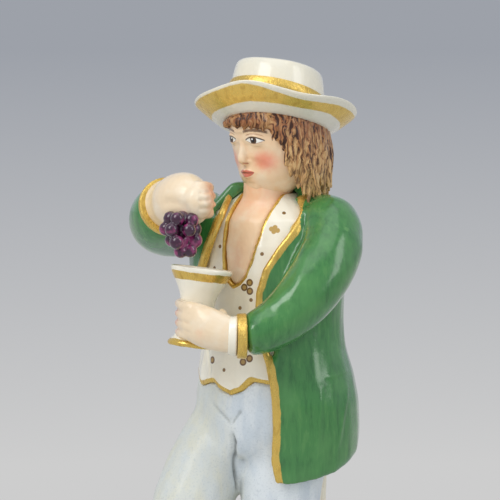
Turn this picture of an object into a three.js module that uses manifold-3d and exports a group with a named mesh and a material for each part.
// A glazed earthenware figure of a young grape picker, about 155 mm high, built up the way a
// potter's repairer builds one: separate moulded sections that butt against each other with a thin
// slip joint. Millimetres, +Z up, origin at the centre of the underside. The figure's front faces
// -Y, so its left hand is at +X. Angles are degrees.
import * as THREE from "three";
import { mergeVertices } from "three/addons/utils/BufferGeometryUtils.js";
import Module from "manifold-3d";

const wasm = await Module();
wasm.setup();

// Slip joint between two sections
const seat = 0.3;

// Base: a soft-cornered plinth with a low mound on it
const baseLength = 58;
const baseDepth = 54;
const baseHeight = 14;
const plinthHeight = 4.2;
const plinthStep = 1.6;
const moundInset = 9;
const ventRadius = 2.4;
const ventDepth = 7;

// Tree stump that carries the figure's back
const stumpWidth = 19;
const stumpDepth = 12.5;
const stumpRootSpread = 4.5;
const stumpDrop = 6;
const branchRadius = 2.6;

// Shoes and legs
const shoeLength = 18;
const shoeWidth = 7.4;
const shoeHeight = 7;
const ankleHeight = 7;
const shinLength = 25;
const thighLength = 32;
const ankleRadius = 2.9;
const ankleRun = 3;
const calfRadius = 4.5;
const kneeRadius = 5.9;
const thighRadius = 7.9;
const kneeBandHeight = 2.2;
const kneeBandThickness = 0.75;
const breechesCloth = 0.3;
const breechesDrop = 4;
const hipSpread = 6.6;

// Torso, measured across each level, over the waistcoat
const torsoLength = 45;
const hipWidth = 34;
const hipDepth = 29.2;
const waistWidth = 30;
const waistDepth = 25.8;
const chestWidth = 31.6;
const chestDepth = 22.8;
const shoulderWidth = 29.6;
const shoulderDepth = 20.4;
const neckWidth = 9.8;
const hipTurn = -14;
const chestTurn = 9;
const waistcoatThickness = 1.2;
const neckOpening = 8.4;
const neckOpeningDrop = 15.7;
const neckOpeningLean = 5;
const hemNotchX = -2.6;

// Coat
const coatThickness = 1.7;
const skirtLength = 11.4;
const hemRise = 8.6;
const hemWall = 2.2;
const hemRecess = 3;
const collarHeight = 5.6;
const collarThickness = 1.2;
const edgingWidth = 1.7;
const edgingThickness = 1.5;

// Arms
const sleeveTopRadius = 7;
const leftElbowRadius = 6.1;
const leftWristRadius = 4.4;
const rightElbowRadius = 6.7;
const rightWristRadius = 6.2;
const cuffLength = 2.1;
const cuffLip = 0.35;
const shirtCuffLength = 0.9;
const bareWristLength = 0.6;
const leftFingerRadius = 1.15;
const rightFingerRadius = 1.45;
const leftFingerPitch = 1.95;
const rightFingerPitch = 2.2;

// Goblet
const gobletHeight = 16.6;
const gobletRimRadius = 6.5;
const gobletWaistRadius = 3.4;
const gobletFootRadius = 5.3;
const gobletBowlDepth = 7;
const gobletWall = 0.8;
const gobletLean = 5.5;
const gobletLeanHeading = 35;
const gobletGrip = [-10.3, 2.9, -3.4];

// Grapes
const grapeRadius = 1.5;
const grapeTiers = [4, 5, 4, 2];
const grapeBunchRadius = 2.8;
const grapeTierHeight = 2.2;

// Head, hair and hat
const chinRise = 4.2;
const headHeight = 20.6;
const headWidth = 18.6;
const headDepth = 21;
const headTurn = -17;
const noseLength = 2;
const hairThickness = 2.1;
const hairFall = 4.4;
const hairLocks = 11;
const lockDepth = 0.05;
const fringeHeight = 12.4;
const hatBrimRadius = 17.1;
const hatBrimThickness = 1.4;
const brimSideLift = 4.2;
const brimFrontLift = 3;
const hatShift = [-0.7, 0.4];
const hatSeatHeight = 12.3;
const hatTiltBack = 15.5;
const hatTiltSide = -11;
const hatCrownRadius = 11.3;
const hatCrownTopRadius = 9.2;
const hatCrownHeight = 13;
const hatBandLevel = 6.2;
const hatBandHeight = 2;
const hatBandThickness = 0.5;

// Levels and anchor points that follow from the sizes above
const soleZ = baseHeight + seat;
const ankleZ = soleZ + ankleHeight;
const kneeZ = ankleZ + shinLength;
const hipZ = kneeZ + thighLength;
const stumpHeight = hipZ - stumpDrop - soleZ;
const shoulderZ = hipZ + 0.88 * torsoLength;
const neckZ = hipZ + torsoLength;
const chinZ = neckZ + chinRise;

// Long enough for a cut to pass through the whole figure
const through = 2 * baseLength;

const point = (x, y, z) => new THREE.Vector3(x, y, z);
const radians = THREE.MathUtils.degToRad;

// A direction in plan, turned by the given angle from the front (-Y) towards the left hand (+X).
const heading = (angle) => point(Math.sin(radians(angle)), -Math.cos(radians(angle)), 0);

// A closed geometry as a solid for joining and cutting.
function solid(geometry) {
  const loose = geometry.index ? geometry.toNonIndexed() : geometry.clone();
  const bare = new THREE.BufferGeometry().setAttribute("position", loose.getAttribute("position"));
  const merged = mergeVertices(bare, 1e-4);
  return new wasm.Manifold(
    new wasm.Mesh({
      numProp: 3,
      vertProperties: merged.attributes.position.array,
      triVerts: new Uint32Array(merged.index.array),
    }),
  );
}

// A solid back as a geometry to draw.
function geometryOf(made) {
  const mesh = made.getMesh();
  return new THREE.BufferGeometry()
    .setAttribute("position", new THREE.BufferAttribute(new Float32Array(mesh.vertProperties), 3))
    .setIndex(new THREE.BufferAttribute(new Uint32Array(mesh.triVerts), 1));
}

// The main body of a cut solid, without the slivers that a cut leaves loose.
function trimmed(made) {
  const bodies = made.decompose();
  return bodies.reduce((best, one) => (one.volume() > best.volume() ? one : best));
}

// Skins a row of rings, each with the same number of points, and closes both ends.
function skin(rings) {
  const sides = rings[0].length;
  const middle = (ring) => ring.reduce((sum, p) => sum.add(p), point(0, 0, 0)).divideScalar(sides);
  const points = [...rings.flat(), middle(rings[0]), middle(rings.at(-1))];
  const first = points.length - 2;
  const last = points.length - 1;
  const faces = [];
  for (let j = 0; j < sides; j++) {
    const next = (j + 1) % sides;
    faces.push(first, next, j);
    faces.push(last, (rings.length - 1) * sides + j, (rings.length - 1) * sides + next);
    for (let i = 0; i + 1 < rings.length; i++) {
      const low = i * sides;
      const high = low + sides;
      faces.push(low + j, low + next, high + next, low + j, high + next, high + j);
    }
  }
  const geometry = new THREE.BufferGeometry().setFromPoints(points);
  geometry.setIndex(faces);
  return geometry;
}

// One elliptical ring about a centre; a power over 2 squares its corners.
function ring(centre, u, v, a, b, { sides, power = 2, ripple = () => 1 }) {
  return Array.from({ length: sides }, (_, j) => {
    const angle = (2 * Math.PI * j) / sides;
    const bend = (c) => Math.sign(c) * Math.abs(c) ** (2 / power);
    const swell = ripple(angle);
    return centre
      .clone()
      .addScaledVector(u, a * swell * bend(Math.cos(angle)))
      .addScaledVector(v, b * swell * bend(Math.sin(angle)));
  });
}

// A table's row at a height, eased smoothly between rows. The first column is the height.
function rowAt(table, height) {
  const found = table.findIndex((row) => row[0] > height);
  const i = Math.min(Math.max((found < 0 ? table.length : found) - 1, 0), table.length - 2);
  const span = table[i + 1][0] - table[i][0];
  const t = (height - table[i][0]) / span;
  const slope = (k, column) => {
    const low = table[Math.max(k - 1, 0)];
    const high = table[Math.min(k + 1, table.length - 1)];
    return (high[column] - low[column]) / (high[0] - low[0]);
  };
  return table[i].map(
    (value, column) =>
      (2 * t ** 3 - 3 * t ** 2 + 1) * value +
      (t ** 3 - 2 * t ** 2 + t) * span * slope(i, column) +
      (3 * t ** 2 - 2 * t ** 3) * table[i + 1][column] +
      (t ** 3 - t ** 2) * span * slope(i + 1, column),
  );
}

// A body of level slices. Each row holds height, centre x, centre y, half width, half depth, turn.
function sliced(table, { steps = 11, sides = 24, grow = 0, power = 2, ripple } = {}) {
  const low = table[0][0];
  const high = table.at(-1)[0];
  const rings = Array.from({ length: steps + 1 }, (_, i) => {
    const z = low + ((high - low) * i) / steps;
    const [, x, y, a, b, turn] = rowAt(table, z);
    const u = point(Math.cos(radians(turn)), Math.sin(radians(turn)), 0);
    const v = point(-u.y, u.x, 0);
    const end = i === 0 ? -grow : i === steps ? grow : 0;
    const wave = ripple ? (angle) => ripple(angle, z) : undefined;
    return ring(point(x, y, z + end), u, v, a + grow, b + grow, { sides, power, ripple: wave });
  });
  return solid(skin(rings));
}

const pathLength = (stations) => new THREE.CatmullRomCurve3(stations.map((s) => s.at)).getLength();

// A limb along a curved path. Each station is { at, a, b }: a is its half size along the `across`
// direction and b the half size square to it. Round ends are domes, other ends are flat.
function limb(stations, options = {}) {
  const {
    steps = 7,
    sides = 14,
    grow = 0,
    from = 0,
    to = 1,
    across = point(1, 0, 0),
    roundStart = false,
    roundEnd = false,
  } = options;
  const path = new THREE.CatmullRomCurve3(stations.map((s) => s.at));
  const sizes = new THREE.CatmullRomCurve3(stations.map((s) => point(s.a, s.b, 0)));
  const section = (share, shift, shrink) => {
    const t = path.getUtoTmapping(share);
    const along = path.getTangent(t);
    const v = along.clone().cross(across).normalize();
    const u = v.clone().cross(along);
    const size = sizes.getPoint(t);
    const reach = Math.min(size.x, size.y) + grow;
    const centre = path.getPoint(t).addScaledVector(along, shift(reach));
    return ring(centre, u, v, (size.x + grow) * shrink, (size.y + grow) * shrink, { sides });
  };
  const dome = (share, way) =>
    [72, 38].map((angle) =>
      section(share, (reach) => way * reach * Math.sin(radians(angle)), Math.cos(radians(angle))),
    );
  const rings = [];
  if (roundStart) rings.push(...dome(from, -1));
  for (let i = 0; i <= steps; i++) {
    const flatStart = i === 0 && !roundStart;
    const flatEnd = i === steps && !roundEnd;
    const push = flatStart ? -grow : flatEnd ? grow : 0;
    rings.push(section(from + ((to - from) * i) / steps, () => push, 1));
  }
  if (roundEnd) rings.push(...dome(to, 1).reverse());
  return solid(skin(rings));
}

// A turned form from a half profile of [radius, height] points that starts and ends on the axis.
function turned(profile, sides = 32) {
  const outline = profile.map(([r, z]) => new THREE.Vector2(r, z));
  const lathe = new THREE.LatheGeometry(outline, sides);
  return lathe.rotateX(Math.PI / 2);
}

// A flat outline pushed through by a depth, in the plane of x and z.
function plate(outline, depth) {
  const shape = new THREE.Shape(outline.map(([x, z]) => new THREE.Vector2(x, z)));
  const slab = new THREE.ExtrudeGeometry(shape, { depth, bevelEnabled: false });
  return slab.translate(0, 0, -depth / 2).rotateX(Math.PI / 2);
}

// A block that is large enough to cut a whole section off at a level.
function block(lowZ, highZ, reach = 80) {
  const box = new THREE.BoxGeometry(2 * reach, 2 * reach, highZ - lowZ);
  return solid(box.translate(0, 0, (lowZ + highZ) / 2));
}

// Base

function baseRing(inset, z) {
  const half = [baseLength / 2 - inset, baseDepth / 2 - inset];
  return ring(point(0, 0, z), point(1, 0, 0), point(0, 1, 0), ...half, { sides: 24, power: 2.7 });
}

function makeBase() {
  const moundZ = plinthHeight + 0.9;
  const rise = baseHeight - moundZ;
  const profile = [
    [0.5, 0],
    [0, 0.6],
    [0, plinthHeight - 1.1],
    [0.5, plinthHeight - 0.2],
    [plinthStep, plinthHeight],
    [plinthStep + 0.5, moundZ],
  ];
  for (const share of [0.25, 0.5, 0.75, 1]) {
    profile.push([
      plinthStep + 0.5 + (moundInset - plinthStep) * (1 - Math.cos((share * Math.PI) / 2)),
      moundZ + rise * Math.sin((share * Math.PI) / 2),
    ]);
  }
  const vent = new THREE.CylinderGeometry(ventRadius, ventRadius, 2 * ventDepth, 20);
  vent.rotateX(Math.PI / 2).translate(0, baseDepth / 4, 0);
  return solid(skin(profile.map(([inset, z]) => baseRing(inset, z)))).subtract(solid(vent));
}

// Legs

const legs = {
  left: {
    ankle: point(6.4, 3, ankleZ),
    calf: point(6.2, 3.6, ankleZ + 0.45 * shinLength),
    knee: point(5.7, 0.6, kneeZ),
    thigh: point(5.2, -0.9, kneeZ + 0.5 * thighLength),
    hip: point(hipSpread, 2, hipZ),
    toe: 26,
  },
  right: {
    ankle: point(-9, -9.4, ankleZ),
    calf: point(-9.5, -9.6, ankleZ + 0.45 * shinLength),
    knee: point(-10.9, -16, kneeZ + 2.5),
    thigh: point(-10, -9.9, kneeZ + 0.55 * thighLength),
    hip: point(-hipSpread - 0.6, 1, hipZ),
    toe: -20,
  },
};

function legStations(leg) {
  return [
    { at: leg.ankle.clone().setZ(leg.ankle.z - ankleRun), a: ankleRadius, b: ankleRadius },
    { at: leg.ankle, a: ankleRadius, b: ankleRadius },
    { at: leg.calf, a: calfRadius, b: calfRadius },
    { at: leg.knee, a: kneeRadius, b: kneeRadius },
    { at: leg.thigh, a: thighRadius, b: thighRadius },
    { at: leg.hip, a: thighRadius + 0.3, b: thighRadius + 0.6 },
  ];
}

// Share of a leg's path at which the breeches end, under the knee
const breechesShare = (leg) =>
  (ankleRun + shinLength - breechesDrop) / pathLength(legStations(leg));

function legPart(leg, from, to, grow = 0, swell = 0) {
  const stations = legStations(leg).map((s) => ({ at: s.at, a: s.a + swell, b: s.b + swell }));
  return limb(stations, { from, to, grow, sides: 14, steps: 6 });
}

function makeShoe(leg, grow = 0) {
  const toward = heading(leg.toe);
  const place = (share, rise) =>
    leg.ankle.clone().addScaledVector(toward, share * shoeLength).setZ(soleZ + rise * shoeHeight);
  const half = shoeWidth / 2;
  const stations = [
    { at: place(-0.24, 0.3), a: 0.3 * shoeHeight, b: 0.6 * half },
    { at: place(-0.12, 0.45), a: 0.48 * shoeHeight, b: 0.86 * half },
    { at: place(0.12, 0.42), a: 0.5 * shoeHeight, b: 0.9 * half },
    { at: place(0.36, 0.24), a: 0.36 * shoeHeight, b: half },
    { at: place(0.58, 0.14), a: 0.28 * shoeHeight, b: 0.94 * half },
    { at: place(0.72, 0.1), a: 0.2 * shoeHeight, b: 0.55 * half },
  ];
  const across = point(0, 0, 1);
  const shoe = limb(stations, { across, grow, sides: 12, steps: 7, roundEnd: true });
  return shoe.subtract(block(0, soleZ - grow));
}

function makeStocking(leg) {
  const stations = legStations(leg);
  const sock = legPart(leg, 0.02, breechesShare(leg) - seat / pathLength(stations));
  return sock.subtract(makeShoe(leg, seat));
}

function makeBreechesLeg(leg, neighbours) {
  const low = breechesShare(leg);
  const cloth = legPart(leg, low, 1, 0, breechesCloth);
  const bandShare = kneeBandHeight / pathLength(legStations(leg));
  const band = limb(legStations(leg), {
    from: low,
    to: low + bandShare,
    grow: kneeBandThickness,
    sides: 16,
    steps: 1,
  }).subtract(legPart(leg, 0, low - seat / pathLength(legStations(leg)), seat));
  return neighbours.reduce((left, other) => left.subtract(other), cloth.add(band));
}

// Torso

// Height, centre x, centre y, half width, half depth and turn of the waistcoat's outside
const torso = [
  [hipZ, 0.2, 2.6, hipWidth / 2 - 0.4, hipDepth / 2 - 0.4, hipTurn],
  [hipZ + 0.16 * torsoLength, 0.3, 3, hipWidth / 2, hipDepth / 2, hipTurn],
  [hipZ + 0.38 * torsoLength, 0, 2.7, waistWidth / 2, waistDepth / 2, 0.6 * hipTurn],
  [hipZ + 0.56 * torsoLength, -0.3, 2.9, waistWidth / 2, waistDepth / 2 - 0.8, 0.15 * hipTurn],
  [hipZ + 0.76 * torsoLength, -0.7, 2.8, chestWidth / 2, chestDepth / 2, 0.5 * chestTurn],
  [shoulderZ + 1, -0.8, 3, shoulderWidth / 2, shoulderDepth / 2, chestTurn],
  [neckZ, -0.5, 3.4, 0.36 * shoulderWidth, 0.42 * shoulderDepth, chestTurn],
  [neckZ + 3, -0.3, 3.6, neckWidth / 2 + 0.9, neckWidth / 2 + 0.9, chestTurn],
];

const chestFront = rowAt(torso, hipZ + 0.7 * torsoLength);

// The waistcoat's cut-away in front, as an outline seen from the chest's own front
function neckCut(spread) {
  const bottom = neckZ - neckOpeningDrop;
  const half = neckOpening / 2;
  const widths = [
    [0.34, 0.055],
    [0.6, 0.15],
    [0.82, 0.4],
    [1, 0.76],
    [1.08, 1.08],
    [1.2, 1.6],
  ].map(([share, rise]) => [share * half - spread, bottom + spread + rise * neckOpeningDrop]);
  const outline = [
    [0, bottom + spread],
    ...widths,
    ...widths.map(([x, z]) => [-x, z]).reverse(),
  ];
  const depth = chestDepth / 2 + 3;
  const cut = plate(outline, depth).translate(0, -depth / 2, -bottom);
  cut.rotateY(radians(neckOpeningLean)).rotateZ(radians(0.5 * chestTurn));
  return solid(cut.translate(chestFront[1] - 1.4, chestFront[2], bottom));
}

// Everything under the waistcoat's scalloped hem, as an outline seen from the front
function belowHem(drop) {
  const edge = [
    [0, 0.198],
    [2.2, 0.172],
    [5.4, 0.151],
    [8, 0.176],
    [10.1, 0.222],
    [14, 0.204],
    [20, 0.19],
  ].map(([x, share]) => [x, hipZ + share * torsoLength - drop]);
  const mirrored = edge.slice(1).map(([x, z]) => [-x, z + 0.8]);
  const reach = 30;
  const low = hipZ - 12;
  const outline = [
    [-reach, low],
    [reach, low],
    [reach, edge.at(-1)[1]],
    ...edge.reverse(),
    ...mirrored,
    [-reach, mirrored.at(-1)[1]],
  ];
  return solid(plate(outline, through).translate(hemNotchX, 0, 0).rotateZ(radians(hipTurn)));
}

function torsoBody(grow = 0) {
  return sliced(torso, { grow, steps: 9, sides: 24 });
}

function makeWaistcoat() {
  return torsoBody().subtract(belowHem(0)).subtract(neckCut(0));
}

function makeChest() {
  const under = sliced(torso, { grow: -waistcoatThickness / 2, steps: 9, sides: 24 });
  const chest = under.intersect(neckCut(seat));
  const throat = neckStations();
  const neck = limb(throat, { sides: 16, steps: 4 });
  const outside = torsoBody(seat).subtract(neckCut(seat));
  return chest.add(neck.subtract(outside));
}

function neckStations() {
  const base = rowAt(torso, neckZ - 6);
  const r = neckWidth / 2;
  return [
    { at: point(base[1], base[2] - 0.6, neckZ - 6), a: r, b: r },
    { at: point(base[1] + 0.5, base[2] - 0.6, neckZ), a: r, b: r },
    { at: point(base[1] + 1.1, base[2] - 0.4, neckZ + 7), a: r + 0.2, b: r + 0.4 },
  ];
}

function makeBreechesSeat() {
  const rows = [
    [hipZ - 6, -0.8, 1.2, 0.76 * (hipWidth / 2), 0.8 * (hipDepth / 2), hipTurn],
    [hipZ, 0, 2.2, 0.95 * (hipWidth / 2), 0.95 * (hipDepth / 2), hipTurn],
    [hipZ + 7, 0.2, 2.8, 0.97 * (hipWidth / 2), 0.97 * (hipDepth / 2), hipTurn],
    [hipZ + 13, 0.1, 3, waistWidth / 2, waistDepth / 2, hipTurn / 2],
  ];
  const seatBody = sliced(rows, { steps: 6, sides: 24 });
  const waistcoat = torsoBody(seat).subtract(belowHem(seat));
  return seatBody.subtract(waistcoat);
}

// Coat

// The coat's skirts carry on down from the torso's own sections
const skirt = [
  [hipZ - skirtLength, 1.3, 4.2, hipWidth / 2 - 1, hipDepth / 2 - 1.4, hipTurn],
  [hipZ - 0.3 * skirtLength, 1.2, 4.1, hipWidth / 2, hipDepth / 2 - 0.5, hipTurn],
  [hipZ + 0.16 * torsoLength, 0.6, 3.5, hipWidth / 2 + 0.1, hipDepth / 2, hipTurn],
  ...torso.slice(2, -1),
  [neckZ + 3.4, -0.5, 3.9, neckWidth / 2 + 1.6, neckWidth / 2 + 1.4, chestTurn],
];

// Height, and the headings of the coat's right and left front edges
const opening = [
  [-skirtLength / torsoLength, -112, 35],
  [-0.17, -108, 32],
  [0.06, -104, 35],
  [0.3, -90, 34],
  [0.41, -78, 28.5],
  [0.525, -62, 26],
  [0.65, -46, 28],
  [0.76, -34, 37],
  [0.855, -28, 51],
  [0.94, -24, 65],
  [1.02, -34, 76],
  [1 + 3.4 / torsoLength, -50, 88],
].map(([share, right, left]) => [hipZ + share * torsoLength, right, left]);

// A point on the coat's surface, at a height and a heading
function coatPoint(height, angle, proud = 0) {
  const [, x, y, a, b, turn] = rowAt(skirt, height);
  const along = radians(angle - turn);
  const reach = coatThickness + proud;
  const r = 1 / Math.hypot(Math.sin(along) / (a + reach), Math.cos(along) / (b + reach));
  return point(x, y, height).addScaledVector(heading(angle), r);
}

// Heading at which the coat's cloth ends, clear of the edging on that side
function clothEdge(side, height) {
  const column = side === "left" ? 2 : 1;
  const [, , , a, b] = rowAt(skirt, height);
  const radius = (a + b) / 2;
  const middle = rowAt(opening, height)[column];
  const slant = radians(rowAt(opening, height + 1)[column] - middle) * radius;
  const reach = (edgingWidth / 2 + seat) * Math.hypot(1, slant);
  return middle + (side === "left" ? 1 : -1) * THREE.MathUtils.radToDeg(reach / radius);
}

function openingCut() {
  const reach = 45;
  const sides = 7;
  const rings = [];
  const low = hipZ - skirtLength - 4;
  const high = neckZ + 8;
  const steps = 14;
  for (let i = 0; i <= steps; i++) {
    const z = low + ((high - low) * i) / steps;
    const inside = Math.min(Math.max(z, opening[0][0]), opening.at(-1)[0] - 1);
    const right = clothEdge("right", inside);
    const left = clothEdge("left", inside);
    const [, x, y] = rowAt(skirt, inside);
    const edge = Array.from({ length: sides }, (_, j) =>
      point(x, y, z).addScaledVector(heading(right + ((left - right) * j) / (sides - 1)), reach),
    );
    rings.push([point(x, y, z), ...edge]);
  }
  return solid(skin(rings));
}

// Everything under the hem, which rises from the front corners to the back
function underHem() {
  const low = hipZ - skirtLength;
  const outline = [
    [-40, low - 10],
    [40, low - 10],
    [40, low + hemRise + 1],
    [14, low + hemRise],
    [8, low + 0.6 * hemRise],
    [0, low + 0.24 * hemRise],
    [-8, low],
    [-40, low],
  ];
  return solid(plate(outline, through).rotateZ(Math.PI / 2));
}

function coatBody(grow = 0) {
  return sliced(skirt, { grow: coatThickness + grow, steps: 11, sides: 24 });
}

function edgingPath(side) {
  const column = side === "left" ? 2 : 1;
  const low = hipZ - skirtLength + (side === "left" ? 0.2 : 4);
  const high = neckZ + 2.4;
  const steps = 15;
  const points = Array.from({ length: steps + 1 }, (_, i) => {
    const z = low + ((high - low) * i) / steps;
    return coatPoint(z, rowAt(opening, z)[column], -0.25 * edgingThickness);
  });
  return new THREE.CatmullRomCurve3(points);
}

function makeEdging(side, grow = 0) {
  const section = new THREE.Shape();
  section.absellipse(0, 0, edgingThickness / 2 + grow, edgingWidth / 2 + grow, 0, 2 * Math.PI);
  const tube = new THREE.ExtrudeGeometry(section, {
    steps: 13,
    curveSegments: 3,
    bevelEnabled: false,
    extrudePath: edgingPath(side),
  });
  return solid(tube);
}

function makeCoat(inner) {
  const collarRows = [
    [neckZ - 2.6, -0.7, 3.3, 0.42 * shoulderWidth, 0.47 * shoulderDepth, chestTurn],
    [neckZ + 0.6, -0.6, 3.8, neckWidth / 2 + 3.7, neckWidth / 2 + 3.1, chestTurn],
    [neckZ - 2.6 + collarHeight, -0.4, 4.2, neckWidth / 2 + 2.6, neckWidth / 2 + 2.2, chestTurn],
  ];
  const collar = sliced(collarRows, { grow: collarThickness, steps: 4, sides: 24 });
  const hollow = sliced(skirt, { grow: coatThickness - hemWall, steps: 6, sides: 24 });
  const hemHollow = hollow.intersect(underHem().translate([0, 0, hemRecess]));
  const shell = coatBody().add(collar).subtract(underHem()).subtract(hemHollow);
  return [openingCut(), ...inner].reduce((left, other) => left.subtract(other), shell);
}

// Arms. Each path runs from the shoulder to the wrist.

const chestCentre = rowAt(torso, shoulderZ);
const outward = heading(chestTurn + 90);
const shoulderReach = shoulderWidth / 2 - 1.4;
const shoulderHeight = shoulderZ + 2.4;
const shoulder = {
  left: point(chestCentre[1], chestCentre[2], shoulderHeight).addScaledVector(
    outward,
    shoulderReach,
  ),
  right: point(chestCentre[1], chestCentre[2], shoulderHeight).addScaledVector(
    outward,
    -shoulderReach,
  ),
};

const from = (start, x, y, z) => point(start.x + x, start.y + y, start.z + z);

function station(start, [x, y, z], a, b = a) {
  return { at: from(start, x, y, z), a, b };
}

const leftArm = [
  station(shoulder.left, [-2.6, 0.8, 1.2], sleeveTopRadius - 1.6),
  station(shoulder.left, [0, 0, 0], sleeveTopRadius),
  station(shoulder.left, [3.9, -3.1, -3.5], sleeveTopRadius - 0.4),
  station(shoulder.left, [4.9, -8.1, -8.8], leftElbowRadius + 0.3),
  station(shoulder.left, [3.5, -14.1, -15], leftElbowRadius - 0.3),
  station(shoulder.left, [0.5, -19.1, -19.5], leftWristRadius + 0.5),
  station(shoulder.left, [-3.3, -23.7, -21.6], leftWristRadius),
  station(shoulder.left, [-5, -25.1, -21.6], leftWristRadius - 0.1, leftWristRadius - 0.6),
  station(shoulder.left, [-6.7, -26.2, -21.5], leftWristRadius - 0.4, leftWristRadius - 1.2),
];

const rightArm = [
  station(shoulder.right, [2, 0.2, 0.3], sleeveTopRadius - 1.5),
  station(shoulder.right, [0, 0, 0], sleeveTopRadius - 0.6),
  station(shoulder.right, [-4.4, -2.1, -1.2], rightElbowRadius - 0.1),
  station(shoulder.right, [-6.8, -6.5, -1.1], rightElbowRadius),
  station(shoulder.right, [-5, -10.9, 0.6], rightElbowRadius),
  station(shoulder.right, [-1.4, -13.9, 2.6], rightWristRadius),
  station(shoulder.right, [1.6, -16.2, 4.3], rightWristRadius - 0.4),
];

const up = point(0, 0, 1);

// One stretch of an arm, given as shares of its path; a shrink pulls the surface in.
function armPart(arm, start, end, { grow = 0, proud = 0, steps = 9, sides = 16, round = false }) {
  const stations = arm.map((s) => ({ at: s.at, a: s.a + proud, b: s.b + proud }));
  const options = { across: up, from: start, to: end, grow, steps, sides, roundStart: round };
  return limb(stations, options);
}

// Shares of each arm's path at which its sleeve and cuffs end, counted back from the bare wrist
const leftReach = pathLength(leftArm);
const leftShirtEnd = 1 - bareWristLength / leftReach;
const leftShirtStart = leftShirtEnd - shirtCuffLength / leftReach;
const leftCuffEnd = leftShirtStart - seat / leftReach;
const leftCuffStart = leftCuffEnd - cuffLength / leftReach;
const leftSleeveEnd = leftCuffStart - seat / leftReach;
const rightReach = pathLength(rightArm);
const rightCuffEnd = 1 - (2 * bareWristLength) / rightReach;
const rightCuffStart = rightCuffEnd - (0.5 * cuffLength) / rightReach;
const rightSleeveEnd = rightCuffStart - seat / rightReach;

function makeLeftSleeve(neighbours) {
  const sleeve = armPart(leftArm, 0, leftSleeveEnd, { round: true, steps: 11 });
  return neighbours.reduce((left, other) => left.subtract(other), sleeve);
}

function makeRightSleeve(neighbours) {
  const sleeve = armPart(rightArm, 0, rightSleeveEnd, { round: true, steps: 10 });
  return neighbours.reduce((left, other) => left.subtract(other), sleeve);
}

function makeLeftCuff() {
  return armPart(leftArm, leftCuffStart, leftCuffEnd, { proud: cuffLip, steps: 1 });
}

function makeShirtCuff() {
  return armPart(leftArm, leftShirtStart, leftShirtEnd, { proud: -0.3, steps: 1 });
}

function makeRightCuff() {
  return armPart(rightArm, rightCuffStart, rightCuffEnd, { proud: cuffLip, steps: 1 });
}

// Goblet, in its own frame with the foot's centre at the origin

const leftWrist = leftArm.at(-1).at;
const gobletFoot = from(leftWrist, ...gobletGrip);

function gobletProfile(grow = 0) {
  const h = gobletHeight;
  return [
    [0, -grow],
    [gobletFootRadius - 0.5 + grow, -grow],
    [gobletFootRadius + grow, 0.5],
    [gobletFootRadius - 0.2 + grow, 0.08 * h],
    [gobletFootRadius - 1.3 + grow, 0.14 * h],
    [gobletWaistRadius + 0.2 + grow, 0.26 * h],
    [gobletWaistRadius + grow, 0.42 * h],
    [gobletWaistRadius + 0.3 + grow, 0.58 * h],
    [0.7 * gobletRimRadius + grow, 0.7 * h],
    [0.82 * gobletRimRadius + grow, 0.81 * h],
    [0.96 * gobletRimRadius + grow, 0.93 * h],
    [gobletRimRadius + grow, h - 0.5],
  ];
}

function placeGoblet(geometry) {
  const axis = heading(gobletLeanHeading).negate();
  const turn = new THREE.Matrix4().makeRotationAxis(axis, radians(gobletLean));
  return geometry.applyMatrix4(turn).translate(gobletFoot.x, gobletFoot.y, gobletFoot.z);
}

function makeGoblet() {
  const h = gobletHeight;
  const floor = h - gobletBowlDepth;
  const inside = [
    [gobletRimRadius - 0.3, h],
    [gobletRimRadius - gobletWall, h - 0.2],
    [0.94 * gobletRimRadius - gobletWall, 0.92 * h],
    [0.84 * gobletRimRadius - gobletWall, 0.82 * h],
    [0.72 * gobletRimRadius - gobletWall, 0.7 * h],
    [0.7 * gobletWaistRadius, floor + 0.5],
    [0, floor],
  ];
  return solid(placeGoblet(turned([...gobletProfile(), ...inside], 18)));
}

function gobletBlank(grow) {
  const profile = [...gobletProfile(grow), [0, gobletHeight - 0.5]];
  return solid(placeGoblet(turned(profile, 18)));
}

// Hands

function finger(points, radius, { grow = 0, sides = 6, steps = 3 } = {}) {
  const stations = points.map((at, i) => {
    const r = radius * (i === points.length - 1 ? 0.82 : 1);
    return { at, a: r, b: r };
  });
  return limb(stations, { across: up, sides, steps, grow, roundStart: true, roundEnd: true });
}

function makeLeftHand(neighbours) {
  const wrist = leftWrist;
  const palm = limb(
    [
      station(wrist, [0, 0, 0], leftWristRadius - 0.5, leftWristRadius - 1.4),
      station(wrist, [-1.9, -0.7, 0.9], leftWristRadius - 0.2, leftWristRadius - 1.6),
      station(wrist, [-4.5, -1.6, 1.8], leftWristRadius - 0.1, leftWristRadius - 1.8),
      station(wrist, [-7.9, -1.6, 2.7], leftWristRadius - 0.3, leftWristRadius - 2.5),
      station(wrist, [-10.4, -0.6, 2.9], leftWristRadius - 0.7, leftWristRadius - 3.1),
    ],
    { across: up, sides: 10, steps: 5, roundEnd: true },
  );
  const fingers = [1.5, 0.5, -0.5, -1.5].map((place) => {
    const rise = 2.7 + place * leftFingerPitch;
    const points = [
      from(wrist, -9.2, -1.6, rise),
      from(wrist, -12.4, 1, rise + 0.1),
      from(wrist, -13.7, 4.3, rise),
      from(wrist, -13.3, 7.2, rise - 0.2),
    ];
    return finger(points, leftFingerRadius);
  });
  const thumb = finger(
    [from(wrist, -1.2, 0.2, 2.4), from(wrist, -2.4, 2.4, 4.6), from(wrist, -3.6, 4, 5.8)],
    leftFingerRadius + 0.2,
  );
  const hand = [...fingers, thumb].reduce((all, one) => all.add(one), palm);
  return neighbours.reduce((left, other) => left.subtract(other), hand);
}

const rightWrist = rightArm.at(-1).at;

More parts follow.
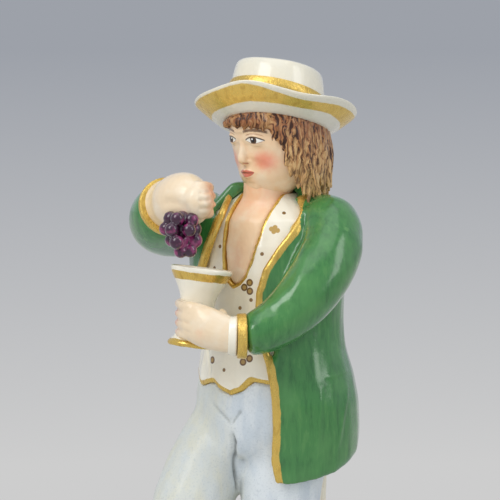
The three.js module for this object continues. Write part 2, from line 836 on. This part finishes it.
function rightHandBlank(grow = 0) {
  const wrist = rightWrist;
  const palm = limb(
    [
      station(wrist, [-2.4, 2, -0.9], rightWristRadius - 0.9),
      station(wrist, [0, 0, 0.4], rightWristRadius - 0.3),
      station(wrist, [3.6, -2.4, 1.2], rightWristRadius - 0.3, rightWristRadius - 1.2),
      station(wrist, [7.2, -4.1, 1.3], rightWristRadius - 0.5, rightWristRadius - 1.8),
      station(wrist, [10.4, -4.6, 0.9], rightWristRadius - 1.1, rightWristRadius - 2.8),
      station(wrist, [12, -4.4, 0.4], rightWristRadius - 2, rightWristRadius - 3.6),
    ],
    { across: up, sides: 11, steps: 5, grow, roundEnd: true },
  );
  const fingers = [1.5, 0.5, -0.5, -1.5].map((place) => {
    const rise = 0.7 + place * rightFingerPitch;
    const points = [
      from(wrist, 10.4, -6.7, rise),
      from(wrist, 13, -5.8, rise),
      from(wrist, 13.2, -3.9, rise - 0.2),
      from(wrist, 10.6, -2.4, rise - 0.4),
    ];
    return finger(points, rightFingerRadius, { grow });
  });
  const thumb = finger(
    [from(wrist, 5.9, -6, -3.4), from(wrist, 8.7, -6.5, -4.4), from(wrist, 10.9, -6.8, -4.6)],
    rightFingerRadius + 0.1,
    { grow },
  );
  return [...fingers, thumb].reduce((all, one) => all.add(one), palm);
}

// Grapes hang in tiers from a short stalk that the right hand holds

const bunchTop = from(rightWrist, 8.7, -8.7, -0.9);

function makeGrapes(neighbours) {
  const stalk = limb(
    [
      station(bunchTop, [-0.4, 2.6, 1.4], 0.7),
      station(bunchTop, [0, 0.6, 0], 0.7),
      station(bunchTop, [0, 0, -3 * grapeTierHeight], 1.4),
    ],
    { sides: 6, steps: 4 },
  );
  const grapes = grapeTiers.flatMap((count, tier) => {
    const spread = grapeBunchRadius * Math.sin((Math.PI * (tier + 1.5)) / 5.6);
    return Array.from({ length: count }, (_, k) => {
      const grape = new THREE.SphereGeometry(grapeRadius, 7, 5);
      const angle = (360 * k) / count + 40 * tier + 12;
      const where = bunchTop.clone().addScaledVector(heading(angle), spread);
      where.z -= grapeRadius + tier * grapeTierHeight;
      return solid(grape.translate(where.x, where.y, where.z));
    });
  });
  const bunch = grapes.reduce((all, one) => all.add(one), stalk);
  return neighbours.reduce((left, other) => left.subtract(other), bunch);
}

// Head, in its own frame: the chin at the origin, the face towards -Y

const headPlace = new THREE.Matrix4()
  .makeTranslation(1.3, 3.6, chinZ)
  .multiply(new THREE.Matrix4().makeRotationZ(radians(headTurn)));

const placed = (made, matrix) => made.transform(matrix.toArray());

function headRows() {
  const h = headHeight;
  const w = headWidth / 2;
  const d = headDepth / 2;
  return [
    [0, 0, -0.5 * d, 0.3 * w, 0.26 * d, 0],
    [0.05 * h, 0, -0.44 * d, 0.5 * w, 0.42 * d, 0],
    [0.16 * h, 0, -0.26 * d, 0.78 * w, 0.66 * d, 0],
    [0.32 * h, 0, -0.1 * d, 0.96 * w, 0.86 * d, 0],
    [0.5 * h, 0, -0.02 * d, w, 0.97 * d, 0],
    [0.68 * h, 0, 0, w, d, 0],
    [0.84 * h, 0, 0.02 * d, 0.88 * w, 0.9 * d, 0],
    [0.95 * h, 0, 0.03 * d, 0.56 * w, 0.6 * d, 0],
    [h, 0, 0.03 * d, 0.2 * w, 0.24 * d, 0],
  ];
}

function skull(grow = 0) {
  return sliced(headRows(), { grow, steps: 9, sides: 20 });
}

function makeHead(neighbours) {
  const h = headHeight;
  const face = -headDepth / 2;
  const nose = limb(
    [
      { at: point(0, face + 0.9, 0.5 * h), a: 0.8, b: 0.7 },
      { at: point(0, face + 0.1, 0.4 * h), a: 0.9, b: 0.9 },
      { at: point(0, face - 0.3 * noseLength, 0.3 * h), a: 1.3, b: 1.1 },
      { at: point(0, face + 0.6, 0.26 * h), a: 1, b: 0.6 },
    ],
    { sides: 7, steps: 3, roundStart: true, roundEnd: true },
  );
  const ear = (side) =>
    limb(
      [
        { at: point(side * (headWidth / 2 - 0.2), -0.6, 0.33 * h), a: 0.9, b: 1.1 },
        { at: point(side * (headWidth / 2 + 0.1), 0, 0.42 * h), a: 1.1, b: 1.7 },
        { at: point(side * (headWidth / 2 - 0.1), 0.2, 0.5 * h), a: 0.9, b: 1.4 },
      ],
      { sides: 7, steps: 3, roundStart: true, roundEnd: true },
    );
  const lips = limb(
    [
      { at: point(-1.7, face + 1.9, 0.172 * h), a: 0.4, b: 0.5 },
      { at: point(0, face + 1.3, 0.167 * h), a: 0.7, b: 0.8 },
      { at: point(1.7, face + 1.9, 0.172 * h), a: 0.4, b: 0.5 },
    ],
    { across: up, sides: 6, steps: 3, roundStart: true, roundEnd: true },
  );
  const head = [nose, lips, ear(1), ear(-1)].reduce((all, one) => all.add(one), skull());
  return neighbours.reduce((left, other) => left.subtract(other), placed(head, headPlace));
}

// Hair, in the head's frame: a fluted cap that falls to the collar, cut away round the face

function makeHair(neighbours) {
  const h = headHeight;
  const w = headWidth / 2 + hairThickness;
  const d = headDepth / 2 + hairThickness;
  const rows = [
    [-hairFall, 0, 0.3 * d, 0.72 * w, 0.5 * d, 0],
    [0.12 * h, 0, 0.22 * d, 0.92 * w, 0.72 * d, 0],
    [0.32 * h, 0, 0.09 * d, w, 0.9 * d, 0],
    [0.55 * h, 0, 0, w, 0.98 * d, 0],
    [0.75 * h, 0, 0.02 * d, 0.97 * w, 0.98 * d, 0],
    [0.95 * h, 0, 0.02 * d, 0.8 * w, 0.84 * d, 0],
  ];
  const locks = (angle, z) =>
    1 + lockDepth * Math.cos(hairLocks * angle + 1.2 * Math.sin((2.5 * z) / h));
  const cap = sliced(rows, { steps: 6, sides: 3 * hairLocks, ripple: locks });
  const window = [
    [-30, -20],
    [0.14 * d, -20],
    [0, 0.05 * h],
    [-0.22 * d, 0.2 * h],
    [-0.5 * d, 0.36 * h],
    [-0.5 * d, 0.5 * h],
    [-0.66 * d, 0.96 * fringeHeight],
    [-30, fringeHeight],
  ];
  const cut = solid(plate(window, through).rotateZ(Math.PI / 2));
  const skullCut = skull(seat);
  const ears = [1, -1].map((side) => {
    const ear = new THREE.SphereGeometry(1, 9, 6);
    ear.scale(2, 2.5, 3.6).translate(side * (headWidth / 2), 0, 0.42 * h);
    return solid(ear);
  });
  const hair = [cut, skullCut, ...ears].reduce((left, other) => left.subtract(other), cap);
  const world = placed(hair, headPlace);
  return neighbours.reduce((left, other) => left.subtract(other), world);
}

// Hat, in its own frame: the underside of the brim's middle at the origin

const hatPlace = new THREE.Matrix4()
  .copy(headPlace)
  .multiply(new THREE.Matrix4().makeTranslation(...hatShift, hatSeatHeight))
  .multiply(new THREE.Matrix4().makeRotationY(radians(hatTiltSide)))
  .multiply(new THREE.Matrix4().makeRotationX(radians(-hatTiltBack)));

// How far the brim is turned up, more at the sides and back than in front
function brimBend(x, y) {
  const r = Math.hypot(x, y);
  const share = Math.max(0, (r - hatCrownRadius) / (hatBrimRadius - hatCrownRadius));
  const side = y < 0 ? (x / r) ** 2 : 1;
  return share ** 1.2 * (brimFrontLift + side * (brimSideLift - brimFrontLift));
}

function brimGeometry(grow = 0) {
  const t = hatBrimThickness;
  const r = hatBrimRadius;
  const inner = hatCrownRadius;
  const profile = [
    [0, -grow],
    [inner, -grow],
    [inner + 1.8, -grow],
    [inner + 3.8, -grow],
    [r - 1.2, 0.1 - grow],
    [r - 0.3, 0.25 * t - grow],
    [r + grow, 0.55 * t],
    [r - 0.4, t + grow],
    [r - 1.4, t + grow],
    [inner + 3.8, t + grow],
    [inner + 1.8, t + grow],
    [inner, t + grow],
    [0, t + grow],
  ];
  const brim = turned(profile, 26);
  const spots = brim.getAttribute("position");
  for (let i = 0; i < spots.count; i++) {
    spots.setZ(i, spots.getZ(i) + brimBend(spots.getX(i), spots.getY(i)));
  }
  return brim;
}

function hatBrim(grow = 0) {
  return placed(solid(brimGeometry(grow)), hatPlace);
}

const hatWallSlope = (hatCrownTopRadius - hatCrownRadius) / hatCrownHeight;
const hatWall = (z) => hatCrownRadius + hatWallSlope * z;

function makeHatBand() {
  const low = hatBandLevel;
  const high = low + hatBandHeight;
  const ringProfile = [
    [hatWall(low) - hatBandThickness, low],
    [hatWall(low) + 0.3, low],
    [hatWall(high) + 0.3, high],
    [hatWall(high) - hatBandThickness, high],
    [hatWall(low) - hatBandThickness, low],
  ];
  return placed(solid(turned(ringProfile, 24)), hatPlace);
}

function makeHatCrown() {
  const low = hatBrimThickness + seat;
  const top = hatCrownHeight;
  const bandLow = hatBandLevel - seat;
  const bandHigh = hatBandLevel + hatBandHeight + seat;
  const groove = hatBandThickness + seat;
  const profile = [
    [0, low],
    [hatWall(low), low],
    [hatWall(bandLow), bandLow],
    [hatWall(bandLow) - groove, bandLow],
    [hatWall(bandHigh) - groove, bandHigh],
    [hatWall(bandHigh), bandHigh],
    [hatCrownTopRadius + 0.1, top - 1.2],
    [hatCrownTopRadius - 0.5, top - 0.4],
    [hatCrownTopRadius - 1.6, top],
    [0.5 * hatCrownTopRadius, top + 0.3],
    [0, top + 0.4],
  ];
  return placed(solid(turned(profile, 24)), hatPlace);
}

// Tree stump behind the legs, with spreading roots and a sawn branch

const stumpCentre = point(-1.2, 9.2, 0);

function makeStump(neighbours) {
  const a = stumpWidth / 2;
  const b = stumpDepth / 2;
  const { x, y } = stumpCentre;
  const low = soleZ;
  const rows = [
    [low, x, y, a + 0.8 * stumpRootSpread, b + 0.8 * stumpRootSpread, 0],
    [low + 3.5, x, y, a + 0.35 * stumpRootSpread, b + 0.3 * stumpRootSpread, 4],
    [low + 11, x, y, 0.94 * a, 0.94 * b, 9],
    [low + 0.5 * stumpHeight, x - 0.3, y + 0.3, 0.9 * a, 0.92 * b, 15],
    [low + 0.8 * stumpHeight, x - 0.2, y + 0.5, 0.98 * a, b, 20],
    [low + stumpHeight, x, y, 0.94 * a, 0.9 * b, 24],
  ];
  const bark = (angle, z) =>
    1 +
    0.06 * Math.cos(5 * angle + 0.12 * (z - low)) +
    0.035 * Math.cos(9 * angle - 0.2 * (z - low));
  const trunk = sliced(rows, { steps: 8, sides: 20, ripple: bark });
  const side = heading(78);
  const start = point(x, y, low + 0.3 * stumpHeight).addScaledVector(side, 0.5 * a);
  const branch = limb(
    [
      { at: start, a: branchRadius + 0.6, b: branchRadius + 0.6 },
      { at: start.clone().addScaledVector(side, 0.45 * a).add(up), a: branchRadius, b: branchRadius },
      {
        at: start.clone().addScaledVector(side, 0.95 * a).addScaledVector(up, 3.4),
        a: branchRadius - 0.2,
        b: branchRadius - 0.2,
      },
    ],
    { across: up, sides: 10, steps: 4 },
  );
  return neighbours.reduce((left, other) => left.subtract(other), trunk.add(branch));
}

// Assembly: each section is cut back by the ones that it butts against

const colours = {
  glaze: { color: 0xf2eee2, roughness: 0.22, metalness: 0 },
  bark: { color: 0xe6d9b4, roughness: 0.3, metalness: 0 },
  shoeBlack: { color: 0x1c1a1b, roughness: 0.2, metalness: 0 },
  paleBlue: { color: 0xc3cbd6, roughness: 0.35, metalness: 0 },
  flesh: { color: 0xf2d3b5, roughness: 0.25, metalness: 0 },
  green: { color: 0x3a8450, roughness: 0.16, metalness: 0 },
  gilt: { color: 0xc9993a, roughness: 0.3, metalness: 0.9 },
  brown: { color: 0x94694a, roughness: 0.35, metalness: 0 },
  purple: { color: 0x552045, roughness: 0.12, metalness: 0 },
};
const finishes = Object.fromEntries(
  Object.entries(colours).map(([name, look]) => [name, new THREE.MeshStandardMaterial(look)]),
);

const figure = new THREE.Group();

function add(name, cut, finish) {
  const made = trimmed(cut);
  const mesh = new THREE.Mesh(geometryOf(made), finishes[finish]);
  mesh.geometry.computeVertexNormals();
  mesh.name = name;
  figure.add(mesh);
  return made;
}

const coatBlank = coatBody(seat);
const leftLegBlank = legPart(legs.left, 0, 1, seat, 2 * breechesCloth);
const rightLegBlank = legPart(legs.right, 0, 1, seat, breechesCloth);
const edgingBlanks = ["left", "right"].map((side) => makeEdging(side, seat));
const neckBlank = limb(neckStations(), { grow: seat, sides: 20, steps: 6 });
const skullBlank = placed(skull(seat), headPlace);
const brimBlank = hatBrim(seat);

add("base", makeBase(), "glaze");
add("left_shoe", makeShoe(legs.left), "shoeBlack");
add("right_shoe", makeShoe(legs.right), "shoeBlack");
add("left_stocking", makeStocking(legs.left), "glaze");
add("right_stocking", makeStocking(legs.right), "glaze");

const breechesSeat = add("breeches_seat", makeBreechesSeat(), "paleBlue");
const seatGrown = [
  [seat, 0, 0],
  [-seat, 0, 0],
  [0, -seat, 0],
  [0, 0, -seat],
].map((shift) => breechesSeat.translate(shift));
const torsoBlank = torsoBody(seat).subtract(belowHem(seat));
add("left_breeches_leg", makeBreechesLeg(legs.left, [...seatGrown, torsoBlank]), "paleBlue");
add(
  "right_breeches_leg",
  makeBreechesLeg(legs.right, [...seatGrown, torsoBlank, leftLegBlank]),
  "paleBlue",
);

add("waistcoat", makeWaistcoat(), "glaze");
add("bare_chest", makeChest(), "flesh");

const coatInner = [
  torsoBody(seat),
  ...seatGrown,
  breechesSeat.translate([0, seat, 0]),
  leftLegBlank,
  rightLegBlank,
  ...edgingBlanks,
  neckBlank,
  skullBlank,
];
add("coat", makeCoat(coatInner), "green");
const bodyBlank = [torsoBody(seat), neckBlank];
["left", "right"].forEach((side) => {
  const edging = bodyBlank.reduce((left, other) => left.subtract(other), makeEdging(side));
  add(`${side}_front_edging`, edging, "gilt");
});

const legBlanks = [legPart(legs.left, 0, 1, seat, kneeBandThickness), rightLegBlank, ...seatGrown];
const stumpCuts = [coatBody(seat).subtract(underHem().translate([0, 0, -seat])), ...legBlanks];
add("tree_stump", makeStump([...stumpCuts, makeShoe(legs.left, seat)]), "bark");

add("left_sleeve", makeLeftSleeve([coatBlank, edgingBlanks[0]]), "green");
add("left_cuff", makeLeftCuff(), "gilt");
add("left_shirt_cuff", makeShirtCuff(), "glaze");
add("goblet", makeGoblet(), "glaze");
const cuffBlank = armPart(leftArm, leftCuffEnd, leftShirtEnd, { grow: seat, steps: 1 });
add("left_hand", makeLeftHand([gobletBlank(seat), cuffBlank]), "flesh");

add("right_sleeve", makeRightSleeve([coatBlank, edgingBlanks[1]]), "green");
add("right_cuff", makeRightCuff(), "gilt");
const rightCuffBlank = armPart(rightArm, rightSleeveEnd, rightCuffEnd, {
  grow: seat,
  proud: cuffLip,
  steps: 1,
});
const sleeveBlank = armPart(rightArm, 0, rightSleeveEnd, { grow: seat, round: true });
const rightHand = [rightCuffBlank, sleeveBlank].reduce(
  (left, other) => left.subtract(other),
  rightHandBlank(),
);
add("right_hand", rightHand, "flesh");
add("grape_bunch", makeGrapes([rightHandBlank(seat)]), "purple");

add("head", makeHead([neckBlank, brimBlank, torsoBody(seat)]), "flesh");
const leftSleeveBlank = armPart(leftArm, 0, 0.4, { grow: seat, round: true });
const hairCuts = [neckBlank, brimBlank, coatBlank, torsoBody(seat), leftSleeveBlank];
add("hair", makeHair([...hairCuts, ...edgingBlanks]), "brown");
add("hat_brim", hatBrim(), "glaze");
add("hat_band", makeHatBand(), "gilt");
add("hat_crown", makeHatCrown(), "glaze");

export default figure;
